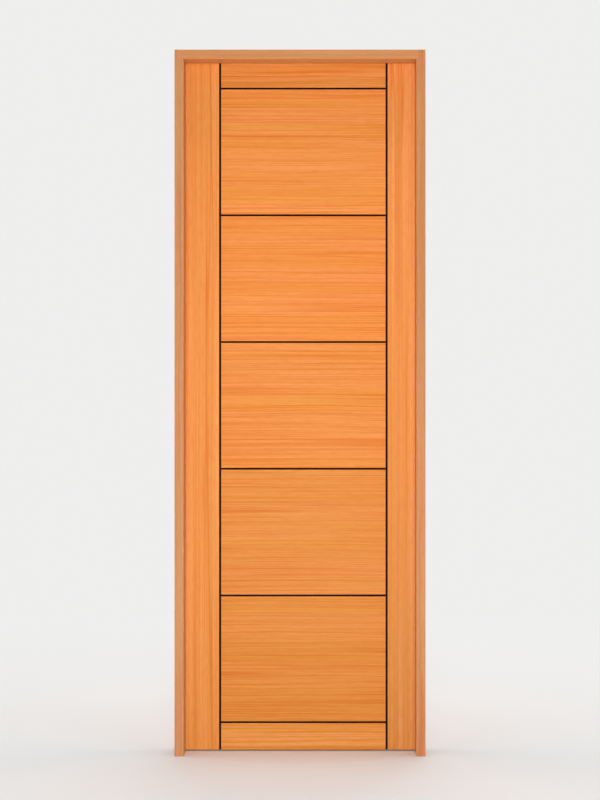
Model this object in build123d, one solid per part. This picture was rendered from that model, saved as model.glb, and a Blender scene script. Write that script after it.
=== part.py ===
from build123d import *
import os

# An interior flush door hung in its rebated timber frame.
# X runs to the right, Y runs from the front (push side) to the back (hinge side), Z runs up.
# The origin lies on the floor, in the middle of the frame's width and depth.

# Leaf, in millimetres
leaf_width = 720.0
leaf_height = 2120.0
leaf_thickness = 35.0
lipping_thickness = 6.0
facing_thickness = 4.0
lipping_arris = 1.0
stile_width = 34.0
end_rail_height = 60.0
lock_rail_height = 140.0
lock_rail_middle = 1000.0

# Pattern of the leaf's faces, from the leaf's edges to the middles of the grooves
lock_stile_face = 113.0
hinge_stile_face = 94.0
top_strip_face = 84.0
bottom_strip_face = 84.0
panel_count = 5
stile_groove_width = 6.0
cross_groove_width = 5.6
facing_arris = 1.2

# Black channels inlaid in the grooves
inlay_wall = 0.7
inlay_fit = 0.1

# Frame
frame_depth = 115.0
jamb_thickness = 18.0
stop_height = 10.0
edge_gap = 3.0
floor_gap = 4.0
stop_gap = 1.0
stop_arris = 2.0
frame_arris = 1.0
housing_depth = 6.0

# Fixing holes through the rebate of each jamb
fixing_radius = 3.25
fixing_countersink_radius = 6.5
fixing_end_inset = 122.5
fixing_inner_spacing = 800.0

# Butt hinges
hinge_height = 100.0
hinge_plate_thickness = 2.5
hinge_plate_reach = 37.5
hinge_plate_corner = 6.0
upper_hinge_drop = 200.0
lower_hinge_rise = 275.0
knuckle_count = 5
knuckle_radius = 6.0
knuckle_clearance = 0.5
bore_radius = 3.5
pin_clearance = 0.05
pin_head_radius = 5.4
pin_head_height = 3.0
pin_end_gap = 0.2
tip_spigot_length = 6.0
washer_thickness = 1.0
washer_play = 0.15
mortise_fit = 0.2
screw_row_shares = (-0.38, -0.13, 0.13, 0.38)
screw_column_shares = (0.48, 0.74)

# Countersunk screws
hinge_screw_head_radius = 3.8
hinge_screw_shank_radius = 1.9
hinge_screw_tip = 4.0
leaf_screw_length = 30.0
jamb_screw_length = 15.0
corner_screw_head_radius = 4.5
corner_screw_shank_radius = 2.2
corner_screw_tip = 5.0
corner_screw_length = 55.0
corner_screw_depth_shares = (0.3, 0.82)
screw_fit = 0.05

# How far a cutter runs past the face that it opens
overrun = 5.0

# Places worked out from the sizes
leaf_edge = leaf_width / 2
rebate_face = leaf_edge + edge_gap
stop_edge = rebate_face - stop_height
frame_side = rebate_face + jamb_thickness
leaf_bottom = floor_gap
leaf_top = leaf_bottom + leaf_height
rebate_top = leaf_top + edge_gap
frame_height = rebate_top + jamb_thickness
frame_front = -frame_depth / 2
frame_back = frame_depth / 2
leaf_back = frame_back
leaf_front = leaf_back - leaf_thickness
leaf_middle = (leaf_front + leaf_back) / 2
stop_face = leaf_front - stop_gap
core_edge = leaf_edge - lipping_thickness
core_front = leaf_front + facing_thickness
core_back = leaf_back - facing_thickness

lock_groove = lock_stile_face - leaf_edge
hinge_groove = leaf_edge - hinge_stile_face
lowest_groove = leaf_bottom + bottom_strip_face
panel_pitch = (leaf_height - top_strip_face - bottom_strip_face) / panel_count
cross_grooves = [lowest_groove + i * panel_pitch for i in range(panel_count + 1)]

pin_x = leaf_edge + edge_gap / 2
pin_y = frame_back + knuckle_clearance + knuckle_radius
upper_hinge = leaf_top - upper_hinge_drop
lower_hinge = leaf_bottom + lower_hinge_rise
hinge_places = {"upper": upper_hinge, "middle": (upper_hinge + lower_hinge) / 2, "lower": lower_hinge}
knuckle_gap = washer_thickness + 2 * washer_play
knuckle_length = (hinge_height - (knuckle_count - 1) * knuckle_gap) / knuckle_count
knuckle_step = knuckle_length + knuckle_gap


def block(x, y, z):
    """A box between two limits along each axis, each given as a pair."""
    corner = (min(x), min(y), min(z))
    box = Box(abs(x[1] - x[0]), abs(y[1] - y[0]), abs(z[1] - z[0]), align=Align.MIN)
    return Pos(*corner) * box


def turned(*outline):
    """A solid turned about Z from an outline of (radius, height) edges that closes on the axis."""
    return revolve(make_face(Plane.XZ * Wire(outline)), Axis.Z)


# Screws

def countersunk_screw(head_radius, shank_radius, length, tip):
    """A countersunk screw that points down, with the top of its head at the origin."""
    points = [
        (0, 0),
        (head_radius, 0),
        (shank_radius, shank_radius - head_radius),
        (shank_radius, tip - length),
        (0, -length),
    ]
    return turned(*Polyline(*points, close=True).edges())


def screw_and_hole(head_radius, shank_radius, length, tip):
    """A screw and the cutter of the straight drilled hole that it sits in."""
    screw = countersunk_screw(head_radius, shank_radius, length, tip)
    hole = countersunk_screw(head_radius + screw_fit, shank_radius + screw_fit, length + screw_fit, 0)
    return screw, hole


def placed(shape, point, direction):
    """A screw or its hole, moved to a point and turned to drive in a direction along X."""
    turn = Rot(0, 90, 0) if direction < 0 else Rot(0, -90, 0)
    return Pos(*point) * turn * shape


# Frame

def jamb():
    """The hinge side's upright: an L section with its stop towards the front and eased inner arrises."""
    outline = Polyline(
        (frame_side, frame_front),
        (stop_edge, frame_front),
        (stop_edge, stop_face),
        (rebate_face, stop_face),
        (rebate_face, frame_back),
        (frame_side, frame_back),
        close=True,
    )
    section = make_face(outline)
    section = fillet(section.vertices().group_by(Axis.X)[0], stop_arris)
    section = fillet(section.vertices().group_by(Axis.X)[-1], frame_arris)
    return extrude(section, frame_height)


def head_section():
    """The top member's section, the same as the jambs' but lying down, with sharp arrises."""
    outline = Polyline(
        (0, frame_front, frame_height),
        (0, frame_front, rebate_top - stop_height),
        (0, stop_face, rebate_top - stop_height),
        (0, stop_face, rebate_top),
        (0, frame_back, rebate_top),
        (0, frame_back, frame_height),
        close=True,
    )
    return make_face(outline)


def head_bar(section):
    """The top member's length, with ends that step in to follow the jambs' stops."""
    member = extrude(section, rebate_face + housing_depth, dir=(1, 0, 0), both=True)
    for side in (-1, 1):
        beyond_stop = (side * (stop_edge + housing_depth), side * (frame_side + overrun))
        before_stop = (frame_front - overrun, stop_face)
        member -= block(beyond_stop, before_stop, (0, frame_height + overrun))
    return member


def fixing_hole(height):
    """The cutter of one countersunk wall fixing through the hinge jamb's rebate."""
    countersink = fixing_countersink_radius - fixing_radius
    points = [
        (0, overrun),
        (fixing_countersink_radius, overrun),
        (fixing_countersink_radius, 0),
        (fixing_radius, -countersink),
        (fixing_radius, -jamb_thickness - overrun),
        (0, -jamb_thickness - overrun),
    ]
    cutter = turned(*Polyline(*points, close=True).edges())
    return placed(cutter, (rebate_face, (stop_face + frame_back) / 2, height), 1)


fixing_heights = [
    fixing_end_inset,
    (frame_height - fixing_inner_spacing) / 2,
    (frame_height + fixing_inner_spacing) / 2,
    frame_height - fixing_end_inset,
]

housing = head_bar(head_section())
eased_section = fillet(head_section().vertices().group_by(Axis.Z)[0], stop_arris)
eased_section = fillet(eased_section.vertices().group_by(Axis.Z)[-1], frame_arris)
head_jamb = head_bar(eased_section)
hinge_jamb = jamb()
for height in fixing_heights:
    hinge_jamb -= fixing_hole(height)
strike_jamb = mirror(hinge_jamb, Plane.YZ)
hinge_jamb -= housing
strike_jamb -= housing

corner_screw, corner_hole = screw_and_hole(
    corner_screw_head_radius, corner_screw_shank_radius, corner_screw_length, corner_screw_tip
)
corner_screws = []
for depth_share in corner_screw_depth_shares:
    depth = frame_front + depth_share * frame_depth
    height = frame_height - jamb_thickness / 2
    for side in (-1, 1):
        seat = (side * frame_side, depth, height)
        corner_screws.append(placed(corner_screw, seat, -side))
        hole = placed(corner_hole, seat, -side)
        head_jamb -= hole
        if side > 0:
            hinge_jamb -= hole
        else:
            strike_jamb -= hole


# Hinges

def plate_outline(grow, back):
    """A hinge plate's outline beside the pin as a flat face in the YZ plane, grown all round by a fit."""
    far = -hinge_plate_reach - grow
    half = hinge_height / 2 + grow
    face = make_face(Polyline((0, far, -half), (0, back, -half), (0, back, half), (0, far, half), close=True))
    return fillet(face.vertices().group_by(Axis.Y)[0], hinge_plate_corner + grow)


def plate_sheet(side, grow, back):
    """The plate's outline at its thickness, with its open face half a gap from the pin's plane."""
    sheet = extrude(plate_outline(grow, back), hinge_plate_thickness, dir=(side, 0, 0))
    return Pos(side * edge_gap / 2, 0, 0) * sheet


def knuckle_heights(first):
    """The middles of every second knuckle, counted from the bottom one."""
    lowest = (knuckle_length - hinge_height) / 2
    return [lowest + i * knuckle_step for i in range(first, knuckle_count, 2)]


def hinge_plate(side, first_knuckle, screw_hole):
    """One half of a hinge about its pin: a plate, its rolled knuckles and its countersunk holes."""
    near = -knuckle_radius - knuckle_clearance
    plate = plate_sheet(side, 0, near)
    neck_x = (side * edge_gap / 2, side * (edge_gap / 2 + hinge_plate_thickness))
    for height in knuckle_heights(first_knuckle):
        neck_z = (height - knuckle_length / 2, height + knuckle_length / 2)
        plate += block(neck_x, (near, 0), neck_z)
        plate += Pos(0, 0, height) * Cylinder(knuckle_radius, knuckle_length)
    plate -= Cylinder(bore_radius, hinge_height + overrun)
    for seat in screw_seats(side):
        plate -= placed(screw_hole, seat, side)
    return plate


def screw_seats(side):
    """The staggered places of a plate's screws, about its pin."""
    seats = []
    for i, row_share in enumerate(screw_row_shares):
        column_share = screw_column_shares[i % len(screw_column_shares)]
        seats.append((side * edge_gap / 2, -column_share * hinge_plate_reach, row_share * hinge_height))
    return seats


def dome():
    """The domed button that closes the barrel at either end."""
    flat = Line((0, 0), (pin_head_radius, 0))
    crown = TangentArc((0, pin_head_height), (pin_head_radius, 0), tangent=(1, 0))
    axis = Line((0, pin_head_height), (0, 0))
    return turned(flat, crown, axis)


def spindle(low, high):
    """A round pin between two heights that runs in the knuckles' bore."""
    radius = bore_radius - pin_clearance
    return Pos(0, 0, low) * Cylinder(radius, high - low, align=(Align.CENTER, Align.CENTER, Align.MIN))


def hinge_pin():
    """The pin: a spindle with a domed head that rests on the top knuckle."""
    low = tip_spigot_length + pin_end_gap - hinge_height / 2
    return spindle(low, hinge_height / 2) + Pos(0, 0, hinge_height / 2) * dome()


def hinge_tip():
    """The bottom tip: a dome with a spigot that is pressed into the lowest knuckle."""
    low = -hinge_height / 2
    return spindle(low, low + tip_spigot_length) + Pos(0, 0, low) * Rot(180, 0, 0) * dome()


def hinge_washer(index):
    """The washer above one knuckle, counted from the bottom."""
    height = (index + 1) * knuckle_step - (hinge_height + knuckle_gap) / 2
    ring = Cylinder(knuckle_radius, washer_thickness) - Cylinder(bore_radius, washer_thickness)
    return Pos(0, 0, height) * ring


leaf_screw, leaf_hole = screw_and_hole(
    hinge_screw_head_radius, hinge_screw_shank_radius, leaf_screw_length, hinge_screw_tip
)
jamb_screw, jamb_hole = screw_and_hole(
    hinge_screw_head_radius, hinge_screw_shank_radius, jamb_screw_length, hinge_screw_tip
)
hinge_pieces = {}
hinge_tips = []
hinge_washers = []
leaf_hinge_screws = []
jamb_hinge_screws = []
leaf_cuts = []
jamb_cuts = []
mortise_back = overrun + knuckle_radius
for place, height in hinge_places.items():
    at = Pos(pin_x, pin_y, height)
    hinge_pieces[place + "_hinge_jamb_plate"] = at * hinge_plate(1, 0, jamb_hole)
    hinge_pieces[place + "_hinge_leaf_plate"] = at * hinge_plate(-1, 1, leaf_hole)
    hinge_pieces[place + "_hinge_pin"] = at * hinge_pin()
    hinge_tips.append(at * hinge_tip())
    hinge_washers += [at * hinge_washer(i) for i in range(knuckle_count - 1)]
    jamb_cuts.append(at * plate_sheet(1, mortise_fit, mortise_back))
    leaf_cuts.append(at * plate_sheet(-1, mortise_fit, mortise_back))
    for seat in screw_seats(1):
        jamb_hinge_screws.append(at * placed(jamb_screw, seat, 1))
        jamb_cuts.append(at * placed(jamb_hole, seat, 1))
    for seat in screw_seats(-1):
        leaf_hinge_screws.append(at * placed(leaf_screw, seat, -1))
        leaf_cuts.append(at * placed(leaf_hole, seat, -1))
hinge_jamb -= jamb_cuts


# Leaf core

core_y = (core_front, core_back)
inner_edge = core_edge - stile_width
lock_rail_low = leaf_bottom + lock_rail_middle - lock_rail_height / 2
rail_levels = {
    "bottom_rail": (leaf_bottom, leaf_bottom + end_rail_height),
    "lower_core": (leaf_bottom + end_rail_height, lock_rail_low),
    "lock_rail": (lock_rail_low, lock_rail_low + lock_rail_height),
    "upper_core": (lock_rail_low + lock_rail_height, leaf_top - end_rail_height),
    "top_rail": (leaf_top - end_rail_height, leaf_top),
}
core_pieces = {}
for name, levels in rail_levels.items():
    core_pieces[name] = block((-inner_edge, inner_edge), core_y, levels)
leaf_z = (leaf_bottom, leaf_top)
core_pieces["lock_stile"] = block((-core_edge, -inner_edge), core_y, leaf_z)
core_pieces["hinge_stile"] = block((inner_edge, core_edge), core_y, leaf_z) - leaf_cuts
lipping = block((core_edge, leaf_edge), (leaf_front, leaf_back), leaf_z)
lipping = chamfer(lipping.edges().filter_by(Axis.Z).group_by(Axis.X)[-1], lipping_arris)
core_pieces["lock_edge_lipping"] = mirror(lipping, Plane.YZ)
core_pieces["hinge_edge_lipping"] = lipping - leaf_cuts


# Leaf faces

def facing(x, z, eased_sides, eased_ends):
    """A front facing board whose arrises along the grooves are eased: sides by X, ends by Z."""
    board = block(x, (leaf_front, core_front), z)
    rim = board.faces().sort_by(Axis.Y)[0].edges()
    sides = rim.filter_by(Axis.Z).sort_by(Axis.X)
    ends = rim.filter_by(Axis.X).sort_by(Axis.Z)
    arrises = [sides[i] for i in eased_sides] + [ends[i] for i in eased_ends]
    return chamfer(arrises, facing_arris)


def facings():
    """The front facings: two full-height stiles, and strips and panels between the two long grooves."""
    half_long = stile_groove_width / 2
    half_cross = cross_groove_width / 2
    pieces = {
        "lock_stile_facing": facing((-core_edge, lock_groove - half_long), leaf_z, [1], []),
        "hinge_stile_facing": facing((hinge_groove + half_long, core_edge), leaf_z, [0], []),
    }
    between = (lock_groove + half_long, hinge_groove - half_long)
    bottom = (leaf_bottom, cross_grooves[0] - half_cross)
    top = (cross_grooves[-1] + half_cross, leaf_top)
    pieces["bottom_strip_facing"] = facing(between, bottom, [0, 1], [1])
    for i in range(panel_count):
        span = (cross_grooves[i] + half_cross, cross_grooves[i + 1] - half_cross)
        pieces["panel_facing_" + str(i + 1)] = facing(between, span, [0, 1], [0, 1])
    pieces["top_strip_facing"] = facing(between, top, [0, 1], [0])
    return pieces


def channel_section(groove_width):
    """Half widths and depths of a channel: outside, inside and the level of its floor."""
    outer = groove_width / 2 - inlay_fit
    inner = outer - inlay_wall
    return outer, inner, (leaf_front + facing_arris, core_front), (leaf_front, core_front - inlay_wall)


def stile_inlay(groove):
    """A full-height channel in a long groove, open to the front."""
    outer, inner, outside_y, inside_y = channel_section(stile_groove_width)
    hollow_z = (leaf_bottom - overrun, leaf_top + overrun)
    hollow = block((groove - inner, groove + inner), inside_y, hollow_z)
    return block((groove - outer, groove + outer), outside_y, leaf_z) - hollow


def cross_inlay(groove):
    """A channel in a cross groove, which butts against the two long channels."""
    outer, inner, outside_y, inside_y = channel_section(cross_groove_width)
    span = (lock_groove + stile_groove_width / 2, hinge_groove - stile_groove_width / 2)
    hollow_x = (span[0] - overrun, span[1] + overrun)
    hollow = block(hollow_x, inside_y, (groove - inner, groove + inner))
    return block(span, outside_y, (groove - outer, groove + outer)) - hollow


face_pieces = facings()
face_pieces["lock_stile_inlay"] = stile_inlay(lock_groove)
face_pieces["hinge_stile_inlay"] = stile_inlay(hinge_groove)
face_pieces["cross_inlays"] = Compound([cross_inlay(groove) for groove in cross_grooves])
leaf_plane = Plane.XZ.offset(-leaf_middle)


# Nodes

nodes = {
    "strike_jamb": strike_jamb,
    "hinge_jamb": hinge_jamb,
    "head_jamb": head_jamb,
    "corner_screws": Compound(corner_screws),
    "hinge_pin_tips": Compound(hinge_tips),
    "hinge_washers": Compound(hinge_washers),
    "jamb_hinge_screws": Compound(jamb_hinge_screws),
    "leaf_hinge_screws": Compound(leaf_hinge_screws),
}
nodes.update(hinge_pieces)
nodes.update(core_pieces)
for name, piece in face_pieces.items():
    nodes["front_" + name] = piece
    nodes["back_" + name] = mirror(piece, leaf_plane)

os.makedirs("parts", exist_ok=True)
for name, shape in nodes.items():
    export_step(shape, "parts/" + name + ".step")
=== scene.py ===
import bpy
import numpy as np
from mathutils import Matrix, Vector


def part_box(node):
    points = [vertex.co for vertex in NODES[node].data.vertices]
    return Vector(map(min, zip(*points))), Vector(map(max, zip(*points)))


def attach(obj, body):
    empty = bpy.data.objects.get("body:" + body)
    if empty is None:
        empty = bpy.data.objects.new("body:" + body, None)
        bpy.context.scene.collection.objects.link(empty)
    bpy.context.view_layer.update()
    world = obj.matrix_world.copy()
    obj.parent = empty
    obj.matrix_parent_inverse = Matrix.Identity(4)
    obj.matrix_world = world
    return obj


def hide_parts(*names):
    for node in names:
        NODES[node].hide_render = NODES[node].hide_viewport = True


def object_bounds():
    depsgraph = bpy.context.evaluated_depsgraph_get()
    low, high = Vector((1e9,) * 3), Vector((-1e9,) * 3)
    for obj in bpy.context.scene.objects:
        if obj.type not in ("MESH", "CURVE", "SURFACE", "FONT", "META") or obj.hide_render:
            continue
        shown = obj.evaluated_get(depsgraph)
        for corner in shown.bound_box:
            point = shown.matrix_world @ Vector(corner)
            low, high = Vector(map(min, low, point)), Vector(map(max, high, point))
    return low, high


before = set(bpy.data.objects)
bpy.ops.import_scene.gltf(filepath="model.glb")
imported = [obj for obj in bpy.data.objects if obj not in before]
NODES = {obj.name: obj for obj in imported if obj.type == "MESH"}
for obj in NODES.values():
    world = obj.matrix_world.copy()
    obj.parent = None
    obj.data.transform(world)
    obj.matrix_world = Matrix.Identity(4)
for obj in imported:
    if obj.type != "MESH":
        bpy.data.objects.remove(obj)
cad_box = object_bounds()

# Where the photograph shows the frame's sides and its top, in pixels of the 600 by 800 image
IMAGE_WIDTH, IMAGE_HEIGHT = 600, 800
OUTLINE_LEFT, OUTLINE_RIGHT = 174.45, 425.53
OUTLINE_TOP = 49.55

# The eye's place: its distance from the frame's front face, its height, and how far right it stands
EYE_DISTANCE = 5.40
EYE_HEIGHT = 1.145
EYE_RIGHT = 0.064
SENSOR = 36.0

# Colours of the finishes, linear. A wood has a golden tone, a rosy tone and the deep tone of its lines
PANEL_WOOD = ((0.92, 0.328, 0.053), (0.93, 0.297, 0.062), (0.755, 0.150, 0.003))
STILE_WOOD = ((0.93, 0.397, 0.080), (0.95, 0.352, 0.093), (0.76, 0.165, 0.014))
FRAME_WOOD = ((0.655, 0.305, 0.112), (0.675, 0.260, 0.104), (0.52, 0.135, 0.028))
SOFTWOOD = ((0.80, 0.60, 0.36), (0.78, 0.55, 0.32), (0.52, 0.29, 0.12))
CHIP_PALE, CHIP_DARK = (0.66, 0.50, 0.30, 1), (0.34, 0.23, 0.12, 1)
INLAY_BLACK, INLAY_DUST = (0.017, 0.004, 0.001, 1), (0.026, 0.009, 0.004, 1)
STEEL_LIGHT, STEEL_DARK = (0.48, 0.47, 0.46, 1), (0.34, 0.335, 0.325, 1)
NYLON_PALE, NYLON_DULL = (0.80, 0.79, 0.74, 1), (0.70, 0.68, 0.62, 1)
FLOOR_PALE = (0.86, 0.86, 0.85, 1)
BACKGROUND = (0.86, 0.86, 0.855, 1)
WHITE = (1, 1, 1, 1)

# How each kind of wood is figured: how far its grain wanders and trembles, in metres; how many bands,
# lines and threads it has in a metre across the grain; how often its bands drift and its lines run out
# in a metre along it; and how strong its bands, lines, hair lines, threads and flecks are
VENEER_FIGURE = {
    "wander": 0.010, "tremble": 0.0012,
    "bands": 14.0, "lines": 170.0, "threads": 30.0, "drift": 0.5, "run": 1.2,
    "band_share": 0.25, "line_share": 0.52, "hair_share": 0.47,
    "thread_share": 0.56, "fleck_share": 0.20,
}
STRIP_FIGURE = {
    "wander": 0.014, "tremble": 0.0012,
    "bands": 60.0, "lines": 150.0, "threads": 40.0, "drift": 0.9, "run": 1.2,
    "band_share": 0.32, "line_share": 0.60, "hair_share": 0.56,
    "thread_share": 0.70, "fleck_share": 0.20,
}
STILE_FIGURE = {
    "wander": 0.004, "tremble": 0.0010,
    "bands": 34.0, "lines": 105.0, "threads": 40.0, "drift": 0.4, "run": 0.7,
    "band_share": 0.44, "line_share": 0.24, "hair_share": 0.31,
    "thread_share": 0.64, "fleck_share": 0.20,
}
FRAME_FIGURE = {
    "wander": 0.014, "tremble": 0.0016,
    "bands": 70.0, "lines": 130.0, "threads": 30.0, "drift": 2.0, "run": 1.3,
    "band_share": 0.20, "line_share": 0.36, "hair_share": 0.26,
    "thread_share": 0.32, "fleck_share": 0.16,
}
SAWN_FIGURE = {
    "wander": 0.024, "tremble": 0.0030,
    "bands": 30.0, "lines": 150.0, "threads": 40.0, "drift": 0.6, "run": 1.3,
    "band_share": 0.20, "line_share": 0.40, "hair_share": 0.28,
    "thread_share": 0.40, "fleck_share": 0.20,
}

# How some boards differ in colour from the others of their wood, in shares of red, green and blue: partly
# their own tone, and partly painted shade that makes the leaf's panels darker towards the bottom
BOARD_TONES_AND_SHADE = {
    "strike_jamb": (0.975, 1.03, 1.13),
    "hinge_jamb": (0.96, 0.99, 1.05),
    "head_jamb": (1.015, 1.08, 1.07),
    "lock_stile_facing": (0.95, 0.99, 1.03),
    "hinge_stile_facing": (0.975, 1.03, 1.20),
    "top_strip_facing": (0.89, 1.05, 1.34),
    "panel_facing_5": (0.99, 1.09, 1.29),
    "panel_facing_4": (0.99, 1.06, 1.37),
    "panel_facing_3": (0.935, 1.04, 1.17),
    "panel_facing_2": (0.87, 0.99, 1.08),
    "panel_facing_1": (0.85, 0.98, 0.91),
    "bottom_strip_facing": (0.93, 1.22, 1.52),
}
EVEN_TONE = (1, 1, 1)

# How the colour of the long boards changes slowly down to their foot, from this height: painted shade darkens
# the stiles towards the foot, and the jambs grow lighter towards it
FOOT_SHADING = {
    "strike_jamb": (1.03, 1.09, 1.10),
    "hinge_jamb": (1.04, 1.10, 1.12),
    "lock_stile_facing": (0.96, 1.00, 0.95),
    "hinge_stile_facing": (0.86, 0.91, 0.87),
}
FOOT_START = 1.5

# Turns that lay the grain of a piece along the pattern's own X, and the way that its end grain faces
GRAIN_TURN = {"level": (0, 0, 0), "upright": (0, np.pi / 2, 0)}
GRAIN_AXIS = {"level": (1, 0, 0), "upright": (0, 0, 1)}


# Building blocks of the materials

def add(tree, kind, inputs=None, **settings):
    """One shader node: its settings, then its inputs as values or as links from other sockets."""
    made = tree.nodes.new("ShaderNode" + kind)
    for name, value in settings.items():
        setattr(made, name, value)
    for key, value in (inputs or {}).items():
        socket = made.inputs[key]
        if isinstance(value, bpy.types.NodeSocket):
            tree.links.new(value, socket)
        else:
            socket.default_value = value
    return made


def new_finish(name):
    """A new material, its node tree, its surface shader and its coordinates on the object."""
    material = bpy.data.materials.new(name)
    material.use_nodes = True
    tree = material.node_tree
    place = add(tree, "TexCoord").outputs["Object"]
    return material, tree, tree.nodes["Principled BSDF"], place


def stretched(tree, vector, factors):
    """Coordinates multiplied axis by axis, so that a pattern is drawn out along the small factors."""
    return add(tree, "VectorMath", {0: vector, 1: factors}, operation="MULTIPLY").outputs["Vector"]


def cloudy(tree, vector, factors, detail=2.0, roughness=0.5):
    """Smooth noise about 0.5 that changes as often in a metre of each axis as its factor says."""
    place = stretched(tree, vector, factors)
    inputs = {"Vector": place, "Scale": 1.0, "Detail": detail, "Roughness": roughness}
    return add(tree, "TexNoise", inputs).outputs["Fac"]


def calculate(tree, operation, first, second=0.0):
    """One operation on two numbers or sockets."""
    return add(tree, "Math", {0: first, 1: second}, operation=operation).outputs["Value"]


def ramp(tree, value, low, high, start=0.0, end=1.0):
    """A smooth step of a value from start at low to end at high."""
    inputs = {"Value": value, "From Min": low, "From Max": high, "To Min": start, "To Max": end}
    return add(tree, "MapRange", inputs, interpolation_type="SMOOTHSTEP").outputs["Result"]


def mixed(tree, share, first, second):
    """Two colours, mixed by a share from 0 to 1."""
    return add(tree, "Mix", {0: share, 6: first, 7: second}, data_type="RGBA").outputs[2]


def deepened(tree, colour, deep, noise, edges, share):
    """A colour taken towards its deep tone where a noise is low: by a share below the first edge, and not
    at all above the second."""
    low, high = edges
    return mixed(tree, ramp(tree, noise, low, high, start=share, end=0.0), colour, deep)


def raised(tree, shader, height, depth, strength):
    """A fine relief on the surface, with its depth in metres."""
    bump = add(tree, "Bump", {"Height": height, "Distance": depth, "Strength": strength})
    tree.links.new(bump.outputs["Normal"], shader.inputs["Normal"])


# Wood

# How often the noises of every wood change in a metre, along the grain and across it
WANDER_RATE = (2.6, 2.2, 3.4)
TREMBLE_RATE = (6.0, 9.0, 14.0)
FLECK_RATE = (25.0, 200.0, 200.0)
FIBRE_RATE = (6.0, 620.0, 620.0)
PORE_RATE = (55.0, 1500.0, 1500.0)
THREAD_RUN, THREAD_FADE_RUN = 0.5, 1.0

# Hair lines against lines: how much sooner they run out, and how many more there are
HAIR_RUN_FACTOR, HAIR_COUNT_FACTOR = 1.2, 1.8

# The noise values between which each mark of the grain fades away
BAND_TINT_EDGES = (0.34, 0.66)
BAND_EDGES = (0.30, 0.62)
LINE_EDGES = (0.30, 0.52)
HAIR_EDGES = (0.34, 0.56)
FLECK_EDGES = (0.30, 0.60)
FIBRE_EDGES = (0.30, 0.62)
PORE_EDGES = (0.20, 0.36)
THREAD_MIDDLE, THREAD_HALF_WIDTH = 0.5, 0.040
THREAD_FADE_EDGES = (0.46, 0.66)

# How strong the marks are that every wood has alike
FIBRE_SHARE = 0.12
PORE_SHARE = 0.20
END_GRAIN_SHARE = 0.40
END_FACING_EDGES = (0.6, 0.9)

# How the fibres change the gloss of the wood, and how much it shines and stands out
GLOSS_EDGES = (0.25, 0.75)
ROUGHER, SMOOTHER = 0.06, -0.03
WOOD_SPECULAR = 0.13
GRAIN_DEPTH, GRAIN_STRENGTH = 0.00012, 0.3


def growth_shells(tree, along, figure):
    """Coordinates in the log: the place along the grain, and the distance from a pith line that runs along
    the grain, bent by slow noise and by a small quick one."""
    length = add(tree, "SeparateXYZ", {0: along}).outputs["X"]
    across = stretched(tree, along, (0, 1, 1))
    pith = add(tree, "VectorMath", {0: across}, operation="LENGTH").outputs["Value"]
    wander = cloudy(tree, along, WANDER_RATE, detail=1.0)
    tremble = cloudy(tree, along, TREMBLE_RATE, detail=1.0)
    pith = calculate(tree, "ADD", pith, calculate(tree, "MULTIPLY", wander, figure["wander"]))
    pith = calculate(tree, "ADD", pith, calculate(tree, "MULTIPLY", tremble, figure["tremble"]))
    return add(tree, "CombineXYZ", {"X": length, "Y": pith}).outputs["Vector"]


def thread_lines(tree, shell, per_metre):
    """Long thin lines where a noise across the shells passes its middle, faded in and out by another."""
    wave = cloudy(tree, shell, (THREAD_RUN, per_metre, 0), detail=1.0)
    off_line = calculate(tree, "ABSOLUTE", calculate(tree, "SUBTRACT", wave, THREAD_MIDDLE))
    line = ramp(tree, off_line, 0.0, THREAD_HALF_WIDTH, start=1.0, end=0.0)
    fade = cloudy(tree, shell, (THREAD_FADE_RUN, per_metre / 2, 0), detail=0.0)
    return calculate(tree, "MULTIPLY", line, ramp(tree, fade, *THREAD_FADE_EDGES))


def end_grain(tree, grain):
    """How strongly a face shows as end grain: a smooth step of how squarely it faces along the grain."""
    normal = add(tree, "NewGeometry").outputs["Normal"]
    pair = {0: normal, 1: GRAIN_AXIS[grain]}
    facing = add(tree, "VectorMath", pair, operation="DOT_PRODUCT").outputs["Value"]
    squarely = calculate(tree, "ABSOLUTE", facing)
    return ramp(tree, squarely, *END_FACING_EDGES, start=0.0, end=END_GRAIN_SHARE)


def shaded_to_foot(tree, colour, place, foot_shading):
    """A colour times a shading that goes smoothly with the height, from its value at the foot to an even one:
    painted shade on the stiles, and a lightening on the jambs.
    """
    height = add(tree, "SeparateXYZ", {0: place}).outputs["Z"]
    rise = ramp(tree, height, 0.0, FOOT_START)
    tone = mixed(tree, rise, foot_shading + (1,), EVEN_TONE + (1,))
    toning = {0: 1.0, 6: colour, 7: tone}
    return add(tree, "Mix", toning, data_type="RGBA", blend_type="MULTIPLY").outputs[2]


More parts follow.
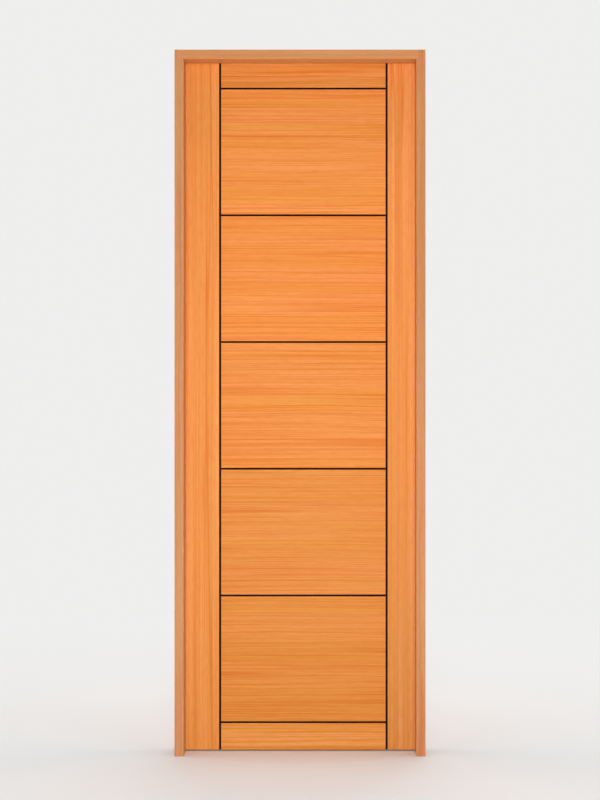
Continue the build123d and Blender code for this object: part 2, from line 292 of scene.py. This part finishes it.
def timber(name, grain, colours, shift, figure, roughness, foot_shading):
    """Wood cut from a log. Noise across the growth shells gives golden and rosy bands and many fine lines,
    thin threads run among them, and noise drawn out along the grain gives flecks, fibres and pores. Faces
    across the grain are darker, as end grain is. Towards their foot, painted shade darkens the stiles and the
    jambs grow lighter."""
    golden, rosy, deep = (tuple(colour) + (1,) for colour in colours)
    material, tree, shader, place = new_finish(name)
    mapping = {"Vector": place, "Location": shift, "Rotation": GRAIN_TURN[grain]}
    along = add(tree, "Mapping", mapping).outputs["Vector"]
    shell = growth_shells(tree, along, figure)

    hair_rate = (HAIR_RUN_FACTOR * figure["run"], HAIR_COUNT_FACTOR * figure["lines"], 0)
    bands = cloudy(tree, shell, (figure["drift"], figure["bands"], 0), detail=1.5)
    lines = cloudy(tree, shell, (figure["run"], figure["lines"], 0), detail=2.0)
    hair_lines = cloudy(tree, shell, hair_rate, detail=1.0)
    threads = thread_lines(tree, shell, figure["threads"])
    flecks = cloudy(tree, along, FLECK_RATE, detail=1.0)
    fibres = cloudy(tree, along, FIBRE_RATE, detail=2.0, roughness=0.6)
    pores = cloudy(tree, along, PORE_RATE, detail=0.0)

    colour = mixed(tree, ramp(tree, bands, *BAND_TINT_EDGES), golden, rosy)
    colour = deepened(tree, colour, deep, bands, BAND_EDGES, figure["band_share"])
    colour = deepened(tree, colour, deep, lines, LINE_EDGES, figure["line_share"])
    colour = deepened(tree, colour, deep, hair_lines, HAIR_EDGES, figure["hair_share"])
    colour = mixed(tree, calculate(tree, "MULTIPLY", threads, figure["thread_share"]), colour, deep)
    colour = deepened(tree, colour, deep, flecks, FLECK_EDGES, figure["fleck_share"])
    colour = deepened(tree, colour, deep, fibres, FIBRE_EDGES, FIBRE_SHARE)
    colour = deepened(tree, colour, deep, pores, PORE_EDGES, PORE_SHARE)
    colour = mixed(tree, end_grain(tree, grain), colour, deep)
    # Painted shade towards the foot of the stiles, and a lightening towards the foot of the jambs
    if foot_shading != EVEN_TONE:
        colour = shaded_to_foot(tree, colour, place, foot_shading)
    tree.links.new(colour, shader.inputs["Base Color"])

    gloss = ramp(tree, fibres, *GLOSS_EDGES, start=roughness + ROUGHER, end=roughness + SMOOTHER)
    tree.links.new(gloss, shader.inputs["Roughness"])
    shader.inputs["Specular IOR Level"].default_value = WOOD_SPECULAR
    raised(tree, shader, calculate(tree, "ADD", fibres, lines), GRAIN_DEPTH, GRAIN_STRENGTH)
    return material


# Other materials

# How often the patterns change in a metre of X, Y and Z
FLAKE_RATE = (160.0, 420.0, 160.0)
DUST_RATE = (60.0, 60.0, 60.0)
SMEAR_RATE = (70.0, 70.0, 70.0)
MILK_RATE = (300.0, 300.0, 300.0)
PLATE_BRUSHING = (900.0, 900.0, 25.0)
TURNED_BRUSHING = (60.0, 60.0, 1500.0)
SCREW_BRUSHING = (1500.0, 60.0, 60.0)


def chipboard(name):
    """Pressed chips: flat cells, each of its own tone."""
    material, tree, shader, place = new_finish(name)
    flakes = stretched(tree, place, FLAKE_RATE)
    cells = add(tree, "TexVoronoi", {"Vector": flakes, "Scale": 1.0})
    tone = add(tree, "SeparateColor", {0: cells.outputs["Color"]}).outputs[0]
    colour = mixed(tree, ramp(tree, tone, 0.1, 0.9, start=0.0, end=0.75), CHIP_PALE, CHIP_DARK)
    tree.links.new(colour, shader.inputs["Base Color"])
    shader.inputs["Roughness"].default_value = 0.75
    raised(tree, shader, cells.outputs["Distance"], depth=0.0003, strength=0.6)
    return material


def black_channel(name):
    """Extruded brown-black channel: nearly matt, with a faint film of dust."""
    material, tree, shader, place = new_finish(name)
    dust = cloudy(tree, place, DUST_RATE, detail=3.0)
    colour = mixed(tree, ramp(tree, dust, 0.45, 0.75), INLAY_BLACK, INLAY_DUST)
    gloss = ramp(tree, dust, 0.3, 0.7, start=0.55, end=0.70)
    tree.links.new(colour, shader.inputs["Base Color"])
    tree.links.new(gloss, shader.inputs["Roughness"])
    shader.inputs["Specular IOR Level"].default_value = 0.03
    raised(tree, shader, dust, depth=0.00005, strength=0.4)
    return material


def satin_steel(name, brushing_rate):
    """Brushed stainless steel: noise drawn out along the brushing moves the tone and the relief, and slow
    noise moves the gloss."""
    material, tree, shader, place = new_finish(name)
    brushing = cloudy(tree, place, brushing_rate, detail=3.0, roughness=0.65)
    smears = cloudy(tree, place, SMEAR_RATE, detail=2.0)
    colour = mixed(tree, ramp(tree, brushing, 0.3, 0.7), STEEL_DARK, STEEL_LIGHT)
    gloss = ramp(tree, smears, 0.3, 0.7, start=0.40, end=0.52)
    tree.links.new(colour, shader.inputs["Base Color"])
    tree.links.new(gloss, shader.inputs["Roughness"])
    shader.inputs["Metallic"].default_value = 1.0
    raised(tree, shader, brushing, depth=0.00003, strength=0.5)
    return material


def nylon(name):
    """Natural nylon: milky, slightly uneven and waxy."""
    material, tree, shader, place = new_finish(name)
    milk = cloudy(tree, place, MILK_RATE, detail=2.0)
    colour = mixed(tree, ramp(tree, milk, 0.3, 0.7), NYLON_DULL, NYLON_PALE)
    tree.links.new(colour, shader.inputs["Base Color"])
    shader.inputs["Roughness"].default_value = 0.45
    shader.inputs["Subsurface Weight"].default_value = 0.1
    raised(tree, shader, milk, depth=0.00003, strength=0.3)
    return material


# Finishes of the CAD nodes

FRAME_NODES = ("strike_jamb", "hinge_jamb", "head_jamb")
LIPPING_NODES = ("lock_edge_lipping", "hinge_edge_lipping")
INNER_NODES = ("lock_stile", "hinge_stile", "top_rail", "lock_rail", "bottom_rail")

# How rough the wood of the leaf, of the frame and of the inner pieces is
LEAF_LACQUER, FRAME_LACQUER, SAWN = 0.42, 0.44, 0.70

# Where the boards lie in the log: the steps from one to the next along the grain and away from the pith,
# and a few places beside it
BOARD_STEP = 1.37
PITH_BEHIND, PITH_STEP = 0.30, 0.011
PITH_BESIDE, BESIDE_STEP, BESIDE_PLACES = 0.45, 0.19, 5


def board_shift(index):
    """A place in the log of its own for each board, so that no two boards share their figure."""
    behind = PITH_BEHIND + PITH_STEP * index
    beside = PITH_BESIDE + BESIDE_STEP * (index % BESIDE_PLACES)
    return (BOARD_STEP * index, behind, beside)


def dress(node, material):
    """Gives a CAD node its finish."""
    slots = NODES[node].data.materials
    slots.clear()
    slots.append(material)


def nodes_with(word):
    """The CAD nodes that have a word in their names, in order."""
    return [name for name in sorted(NODES) if word in name]


def grain_of(node):
    """Jambs, stiles and lippings stand, and everything else lies."""
    upright = ("stile" in node) or ("lipping" in node) or node in ("strike_jamb", "hinge_jamb")
    return "upright" if upright else "level"


def dress_timber(nodes, colours, figure, roughness, first_board):
    """Cuts each of some nodes from a board of its own, in the colour of that board, which is partly its own
    tone and partly painted shade.
    """
    for i, node in enumerate(nodes):
        board = node.removeprefix("front_").removeprefix("back_")
        # Each board's colour: partly its own tone, partly painted shade
        tone = BOARD_TONES_AND_SHADE.get(board, EVEN_TONE)
        # Painted shade on the stiles towards their foot, and a lightening of the jambs towards theirs
        foot_shading = FOOT_SHADING.get(board, EVEN_TONE)
        toned_and_shaded = [tuple(np.multiply(tone, colour)) for colour in colours]
        shift = board_shift(first_board + i)
        wood = timber("wood_" + node, grain_of(node), toned_and_shaded, shift, figure, roughness, foot_shading)
        dress(node, wood)


dress_timber(nodes_with("panel_facing"), PANEL_WOOD, VENEER_FIGURE, LEAF_LACQUER, first_board=0)
dress_timber(nodes_with("strip_facing"), PANEL_WOOD, STRIP_FIGURE, LEAF_LACQUER, first_board=14)
dress_timber(nodes_with("stile_facing"), STILE_WOOD, STILE_FIGURE, LEAF_LACQUER, first_board=20)
dress_timber(FRAME_NODES, FRAME_WOOD, FRAME_FIGURE, FRAME_LACQUER, first_board=30)
dress_timber(LIPPING_NODES, STILE_WOOD, STILE_FIGURE, LEAF_LACQUER, first_board=40)
dress_timber(INNER_NODES, SOFTWOOD, SAWN_FIGURE, SAWN, first_board=50)

core_finish = chipboard("pressed_chips")
inlay_finish = black_channel("black_channel")
plate_finish = satin_steel("brushed_plate", PLATE_BRUSHING)
turned_finish = satin_steel("turned_steel", TURNED_BRUSHING)
screw_finish = satin_steel("screw_steel", SCREW_BRUSHING)
washer_finish = nylon("natural_nylon")
for name in sorted(NODES):
    if "inlay" in name:
        dress(name, inlay_finish)
    elif name.endswith("_core"):
        dress(name, core_finish)
    elif name.endswith("_plate"):
        dress(name, plate_finish)
    elif name.endswith("_pin") or name == "hinge_pin_tips":
        dress(name, turned_finish)
    elif name.endswith("_screws"):
        dress(name, screw_finish)
    elif name == "hinge_washers":
        dress(name, washer_finish)


# Screws

# Sizes of the screws as in the CAD model, in metres: head radius, shank radius, length, tip and pitch
LEAF_SCREW = (0.0038, 0.0019, 0.030, 0.004, 0.0018)
JAMB_SCREW = (0.0038, 0.0019, 0.015, 0.004, 0.0018)
CORNER_SCREW = (0.0045, 0.0022, 0.055, 0.005, 0.0024)

# Where the screws sit on a hinge plate: shares of its height from its middle, and of its depth from the pin
SCREW_ROW_SHARES = (-0.38, -0.13, 0.13, 0.38)
SCREW_COLUMN_SHARES = (0.48, 0.74)

# The screws' rings, their thread from root to crest, and the turn from one screw to the next
AROUND = 40
HEAD_RINGS = 14
RINGS_PER_TURN = 6
ROOT_SHARE = 0.70
CREST_SHARPNESS = 3
GOLDEN_TURN = 2.39996
SHARP_ANGLE = np.radians(50)

# The cross in a screw's head, in shares of the head's radius, and how far out its arms' sides start
RECESS_RADIUS_SHARE = 0.60
RECESS_END_SHARE = 0.25
RECESS_HALF_WIDTH_SHARE = 0.13
RECESS_DEPTH_SHARE = 0.45
RECESS_SIDE = 1.5


def smooth(value):
    """A smooth step from 0 to 1, level at both ends."""
    share = np.clip(value, 0, 1)
    return share * share * (3 - 2 * share)


def screw_head(head_radius, angle, turn):
    """The flat head as rings of depth and radius. It sinks by a cross: a smooth step of the distance to the
    nearer arm, times one of the radius."""
    radius = np.linspace(0, head_radius, HEAD_RINGS)[:, None]
    half_width = RECESS_HALF_WIDTH_SHARE * head_radius
    arm = radius * np.minimum(np.abs(np.cos(angle + turn)), np.abs(np.sin(angle + turn)))
    inside = smooth((RECESS_SIDE * half_width - arm) / half_width)
    middle = smooth((RECESS_RADIUS_SHARE * head_radius - radius) / (RECESS_END_SHARE * head_radius))
    depth = RECESS_DEPTH_SHARE * head_radius * inside * middle
    return depth, radius + 0 * angle


def screw_shank(neck, shank_radius, length, tip, pitch, angle, turn):
    """The shank below the head's cone as rings of depth and radius. The radius swings from root to crest by a
    narrow wave of depth / pitch + angle, and it shrinks evenly to nothing along the tip."""
    turns = (length - neck) / pitch
    rings = int(np.ceil(turns * RINGS_PER_TURN))
    depth = np.linspace(neck, length, rings)[:, None]
    wave = (0.5 + 0.5 * np.cos(2 * np.pi * depth / pitch + angle + turn)) ** CREST_SHARPNESS
    start = smooth((depth - neck) / pitch)
    thread = 1 - (1 - ROOT_SHARE) * (1 - wave) * start
    taper = np.clip((length - depth) / tip, 0, 1)
    return depth + 0 * angle, shank_radius * thread * taper


def screw_points(head_radius, shank_radius, length, tip, pitch, turn):
    """A countersunk wood screw as rings of (depth, side, rise) points from the middle of its head to its
    tip, with an even cone between the head's rim and the shank."""
    angle = np.linspace(0, 2 * np.pi, AROUND, endpoint=False)[None, :]
    neck = head_radius - shank_radius
    head_depth, head_radii = screw_head(head_radius, angle, turn)
    shank_depth, shank_radii = screw_shank(neck, shank_radius, length, tip, pitch, angle, turn)
    depths = np.concatenate([head_depth, shank_depth])
    radii = np.concatenate([head_radii, shank_radii])
    return np.stack([depths, radii * np.cos(angle), radii * np.sin(angle)], axis=2)


def ringed_skin(points):
    """Faces of a ringed form whose first and last rings are single points: fans at both ends, and
    four-sided faces between neighbouring rings. Returns its vertices, its quads and its fans."""
    rings, around = points.shape[:2]
    inner = points[1:-1].reshape(-1, 3)
    vertices = np.concatenate([points[:1, 0], inner, points[-1:, 0]])
    here = np.arange(around)
    after = (here + 1) % around
    last = len(vertices) - 1
    base = 1 + around * np.arange(rings - 3)[:, None]
    corners = [base + here, base + after, base + around + after, base + around + here]
    quads = np.stack(corners, axis=2).reshape(-1, 4)
    first_fan = np.stack([np.zeros_like(here), 1 + after, 1 + here], axis=1)
    last_ring = last - around
    last_fan = np.stack([last_ring + here, last_ring + after, np.full_like(here, last)], axis=1)
    return vertices, quads, np.concatenate([first_fan, last_fan])


def add_piece(name, vertices, faces, material, body, nodes):
    """A mesh piece in the shared frame, with its finish, its body and the CAD nodes that it stands for."""
    mesh = bpy.data.meshes.new(name)
    mesh.from_pydata(vertices.tolist(), [], faces)
    mesh.polygons.foreach_set("use_smooth", np.ones(len(mesh.polygons), dtype=bool))
    mesh.set_sharp_from_angle(angle=SHARP_ANGLE)
    mesh.materials.append(material)
    piece = bpy.data.objects.new(name, mesh)
    bpy.context.scene.collection.objects.link(piece)
    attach(piece, body)
    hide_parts(*nodes)


def add_screws(name, size, seats, body, node):
    """A set of screws: each seat gives a point and the way along X that the screw drives, about which its
    rings turn so that the faces stay outward."""
    all_vertices = []
    all_faces = []
    count = 0
    for i, (seat, drive) in enumerate(seats):
        points = screw_points(*size, turn=GOLDEN_TURN * i)
        vertices, quads, fans = ringed_skin(points)
        all_vertices.append(np.array(seat) + vertices * np.array((drive, 1, drive)))
        all_faces += (quads + count).tolist()
        all_faces += (fans + count).tolist()
        count += len(vertices)
    add_piece(name, np.concatenate(all_vertices), all_faces, screw_finish, body, (node,))


def hinge_seats(kind, face_x, drive):
    """The screw seats of the three plates of one kind, staggered in two columns from the pin."""
    seats = []
    for place in ("upper", "middle", "lower"):
        low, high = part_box(place + "_hinge_" + kind + "_plate")
        pin_low, pin_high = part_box(place + "_hinge_pin")
        pin_y = (pin_low.y + pin_high.y) / 2
        for i, row in enumerate(SCREW_ROW_SHARES):
            column = SCREW_COLUMN_SHARES[i % len(SCREW_COLUMN_SHARES)]
            y = pin_y - column * (pin_y - low.y)
            z = (low.z + high.z) / 2 + row * (high.z - low.z)
            seats.append(((face_x, y, z), drive))
    return seats


def corner_seats():
    """The screw seats on the jambs' outer faces, two at each top corner."""
    low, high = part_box("corner_screws")
    head_radius = CORNER_SCREW[0]
    z = (low.z + high.z) / 2
    seats = []
    for y in (low.y + head_radius, high.y - head_radius):
        seats.append(((low.x, y, z), 1))
        seats.append(((high.x, y, z), -1))
    return seats


leaf_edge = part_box("hinge_edge_lipping")[1].x
pin_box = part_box("middle_hinge_pin")
jamb_face = pin_box[0].x + pin_box[1].x - leaf_edge
leaf_seats = hinge_seats("leaf", leaf_edge, -1)
jamb_seats = hinge_seats("jamb", jamb_face, 1)
add_screws("threaded_leaf_screws", LEAF_SCREW, leaf_seats, "leaf", "leaf_hinge_screws")
add_screws("threaded_jamb_screws", JAMB_SCREW, jamb_seats, "frame", "jamb_hinge_screws")
add_screws("threaded_corner_screws", CORNER_SCREW, corner_seats(), "frame", "corner_screws")


# Stage

# The floor: its radius, how far it lies below the object, its corners, and where it fades, in metres
FLOOR_RADIUS = 40.0
FLOOR_BELOW = 0.0003
FLOOR_SIDES = 96
FLOOR_FADE = (0.8, 3.2)

# Soft lamps: name, place, aim, width and height in metres, and power in watts
DOOR_MIDDLE = (0, 0, 1.05)
OVER_UP_BANK = (0.06, -1.7, 1.0)
LAMPS = (
    ("front_bank", (0.06, -6.3, 2.35), DOOR_MIDDLE, 1.2, 0.5, 84),
    ("low_bank", (0.06, -4.4, 0.22), DOOR_MIDDLE, 1.4, 0.3, 62),
    ("up_bank", (0.06, -1.7, 0.06), OVER_UP_BANK, 1.6, 0.8, 9),
    ("top_bank", (0, -0.3, 6.5), DOOR_MIDDLE, 3.0, 3.0, 150),
    ("left_fill", (-5.4, 0.6, 2.0), DOOR_MIDDLE, 3.0, 3.0, 84),
    ("right_fill", (5.4, 0.6, 2.0), DOOR_MIDDLE, 3.0, 3.0, 84),
    ("back_bank", (0.7, 6.0, 2.2), DOOR_MIDDLE, 6.4, 4.4, 218),
)
ROOM_LIGHT = 0.22


def past_object(tree):
    """1 for what the eye, a gloss or a clear piece sees, and 0 for what only lights the object."""
    rays = add(tree, "LightPath").outputs
    seen = calculate(tree, "MAXIMUM", rays["Is Camera Ray"], rays["Is Glossy Ray"])
    return calculate(tree, "MAXIMUM", seen, rays["Is Transmission Ray"])


def floor_finish():
    """Pale floor that keeps the object's shadow and fades into the background further out."""
    material, tree, shader, place = new_finish("pale_floor")
    away = add(tree, "VectorMath", {0: place}, operation="LENGTH").outputs["Value"]
    shader.inputs["Base Color"].default_value = FLOOR_PALE
    shader.inputs["Roughness"].default_value = 0.9
    shader.inputs["Specular IOR Level"].default_value = 0.1
    glow = add(tree, "Emission", {"Color": BACKGROUND, "Strength": 1.0}).outputs["Emission"]
    share = calculate(tree, "MULTIPLY", past_object(tree), ramp(tree, away, *FLOOR_FADE))
    layers = {0: share, 1: shader.outputs["BSDF"], 2: glow}
    surface = add(tree, "MixShader", layers).outputs["Shader"]
    tree.links.new(surface, tree.nodes["Material Output"].inputs["Surface"])
    return material


def add_floor():
    """A flat round sheet: one face with its corners on a circle about the origin."""
    angle = np.linspace(0, 2 * np.pi, FLOOR_SIDES, endpoint=False)
    level = np.full(FLOOR_SIDES, -FLOOR_BELOW)
    rim = np.stack([FLOOR_RADIUS * np.cos(angle), FLOOR_RADIUS * np.sin(angle), level], axis=1)
    mesh = bpy.data.meshes.new("floor")
    mesh.from_pydata(rim.tolist(), [], [list(range(FLOOR_SIDES))])
    mesh.materials.append(floor_finish())
    floor = bpy.data.objects.new("floor", mesh)
    bpy.context.scene.collection.objects.link(floor)


def add_lamp(name, place, aim, width, height, power):
    """A soft lamp, as wide and high as it says, that looks from its place at its aim and isn't seen."""
    light = bpy.data.lights.new(name, "AREA")
    light.shape = "RECTANGLE"
    light.size = width
    light.size_y = height
    light.energy = power
    lamp = bpy.data.objects.new(name, light)
    bpy.context.scene.collection.objects.link(lamp)
    lamp.location = place
    lamp.rotation_euler = (Vector(aim) - Vector(place)).to_track_quat("-Z", "Y").to_euler()
    lamp.visible_camera = False


def add_world():
    """Even light from all round, with the pale background wherever something sees past the object."""
    world = bpy.data.worlds.new("studio")
    bpy.context.scene.world = world
    world.use_nodes = True
    tree = world.node_tree
    tree.nodes.clear()
    light = add(tree, "Background", {"Color": WHITE, "Strength": ROOM_LIGHT}).outputs["Background"]
    sight = add(tree, "Background", {"Color": BACKGROUND, "Strength": 1.0}).outputs["Background"]
    both = add(tree, "MixShader", {0: past_object(tree), 1: light, 2: sight}).outputs["Shader"]
    output = add(tree, "OutputWorld")
    tree.links.new(both, output.inputs["Surface"])


def add_camera():
    """An upright camera square to the door, shifted so that the frame's sides and top land where the photo
    has them."""
    low, high = cad_box
    metres_per_pixel = (high[0] - low[0]) / (OUTLINE_RIGHT - OUTLINE_LEFT)
    seen_height = IMAGE_HEIGHT * metres_per_pixel
    right_by = (IMAGE_WIDTH - OUTLINE_LEFT - OUTLINE_RIGHT) / 2 * metres_per_pixel
    middle_x = (low[0] + high[0]) / 2 + right_by
    middle_z = high[2] - (IMAGE_HEIGHT / 2 - OUTLINE_TOP) * metres_per_pixel
    lens = bpy.data.cameras.new("eye")
    lens.sensor_fit = "VERTICAL"
    lens.sensor_height = SENSOR
    lens.lens = SENSOR * EYE_DISTANCE / seen_height
    lens.shift_x = (middle_x - EYE_RIGHT) / seen_height
    lens.shift_y = (middle_z - EYE_HEIGHT) / seen_height
    eye = bpy.data.objects.new("eye", lens)
    bpy.context.scene.collection.objects.link(eye)
    eye.location = (EYE_RIGHT, low[1] - EYE_DISTANCE, EYE_HEIGHT)
    eye.rotation_euler = (np.pi / 2, 0, 0)
    bpy.context.scene.camera = eye


add_floor()
for lamp_values in LAMPS:
    add_lamp(*lamp_values)
add_world()
add_camera()
bpy.context.scene.view_settings.view_transform = "Standard"
